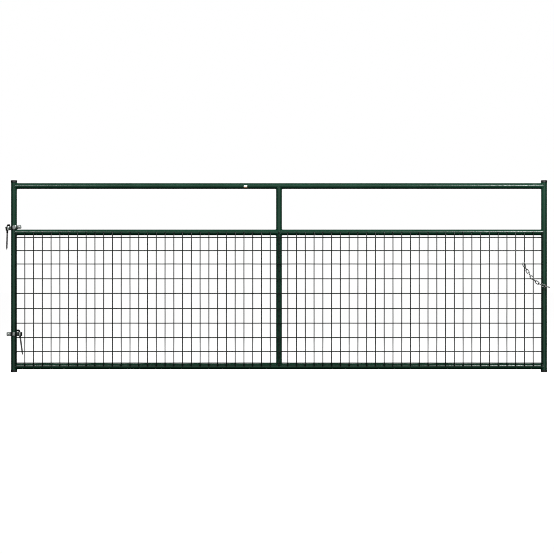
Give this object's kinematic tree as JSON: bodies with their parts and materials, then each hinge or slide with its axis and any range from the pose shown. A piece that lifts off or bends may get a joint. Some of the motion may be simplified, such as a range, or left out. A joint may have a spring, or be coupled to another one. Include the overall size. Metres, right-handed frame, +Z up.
{
  "type": "livestock panel gate",
  "caption": "Welded round-tube field gate with a welded wire panel below an open top bay, bolted hinge collars with loose screw hooks, and a latch chain.",
  "frame": {"origin": "centre of the hinge stile's foot, on the flat underside of its end cap", "axes": "+X along the rails from the hinge stile to the latch stile, +Z up, -Y towards the gate's front, where the wire panel and the latch chain are"},
  "size_m": [3.601, 0.0984, 1.27],
  "materials": {
    "green_coat": "glossy dark green powder coat over steel tube",
    "wire_coat": "dark green powder coat over welded wire",
    "cap_plastic": "black moulded plastic",
    "zinc_strap": "zinc-plated strap steel",
    "zinc_fastener": "bright zinc-plated bolts and nuts",
    "hook_steel": "dark rod steel with a cut lag thread",
    "chain_steel": "zinc-plated welded chain"
  },
  "bodies": {
    "root": {"hinge_stile": "green_coat", "latch_stile": "green_coat", "top_rail": "green_coat", "middle_rail": "green_coat", "bottom_rail": "green_coat", "upper_centre_brace": "green_coat", "lower_centre_brace": "green_coat", "hinge_stile_foot_cap": "cap_plastic", "hinge_stile_head_cap": "cap_plastic", "latch_stile_foot_cap": "cap_plastic", "latch_stile_head_cap": "cap_plastic", "wire_panel": "wire_coat", "upper_collar_strap": "zinc_strap", "upper_collar_bolt": "zinc_fastener", "upper_collar_nut": "zinc_fastener", "lower_collar_strap": "zinc_strap", "lower_collar_bolt": "zinc_fastener", "lower_collar_nut": "zinc_fastener", "chain_anchor_ring": "chain_steel"},
    "upper_hook": {"upper_screw_hook": "hook_steel"},
    "lower_hook": {"lower_screw_hook": "hook_steel"},
    "link_1": {"chain_link_1": "chain_steel"},
    "link_2": {"chain_link_2": "chain_steel"},
    "link_3": {"chain_link_3": "chain_steel"},
    "link_4": {"chain_link_4": "chain_steel"},
    "link_5": {"chain_link_5": "chain_steel"},
    "link_6": {"chain_link_6": "chain_steel"},
    "link_7": {"chain_link_7": "chain_steel"},
    "link_8": {"chain_link_8": "chain_steel"},
    "link_9": {"chain_link_9": "chain_steel"}
  },
  "joints": [
    {"name": "upper_hook_swivel", "type": "hinge", "parent": "root", "child": "upper_hook", "pos_m": [-0.0433, 0, 0.9566], "axis": [0, 0, 1], "range_deg": [-35, 230]},
    {"name": "lower_hook_swivel", "type": "hinge", "parent": "root", "child": "lower_hook", "pos_m": [0.0385, 0, 0.252], "axis": [0, 0, 1], "range_deg": [-140, 0]},
    {"name": "chain_drop", "type": "hinge", "parent": "root", "child": "link_1", "pos_m": [3.50907, -0.0425, 0.57], "axis": [0, -1, 0], "range_deg": [-20, 105]},
    {"name": "chain_bend_2", "type": "hinge", "parent": "link_1", "child": "link_2", "pos_m": [3.49249, -0.0425, 0.57451], "axis": [0, -1, 0], "range_deg": [-20, 20]},
    {"name": "chain_bend_3", "type": "hinge", "parent": "link_2", "child": "link_3", "pos_m": [3.46554, -0.0425, 0.58792], "axis": [0, -1, 0], "range_deg": [-20, 20]},
    {"name": "chain_bend_4", "type": "hinge", "parent": "link_3", "child": "link_4", "pos_m": [3.45059, -0.0425, 0.59881], "axis": [0, -1, 0], "range_deg": [-20, 20]},
    {"name": "chain_bend_5", "type": "hinge", "parent": "link_4", "child": "link_5", "pos_m": [3.42888, -0.0425, 0.61966], "axis": [0, -1, 0], "range_deg": [-20, 20]},
    {"name": "chain_bend_6", "type": "hinge", "parent": "link_5", "child": "link_6", "pos_m": [3.41699, -0.0425, 0.63383], "axis": [0, -1, 0], "range_deg": [-20, 20]},
    {"name": "chain_bend_7", "type": "hinge", "parent": "link_6", "child": "link_7", "pos_m": [3.39968, -0.0425, 0.65846], "axis": [0, -1, 0], "range_deg": [-20, 20]},
    {"name": "chain_bend_8", "type": "hinge", "parent": "link_7", "child": "link_8", "pos_m": [3.39011, -0.0425, 0.67429], "axis": [0, -1, 0], "range_deg": [-20, 20]},
    {"name": "chain_bend_9", "type": "hinge", "parent": "link_8", "child": "link_9", "pos_m": [3.37601, -0.0425, 0.70089], "axis": [0, -1, 0], "range_deg": [-20, 20]}
  ]
}
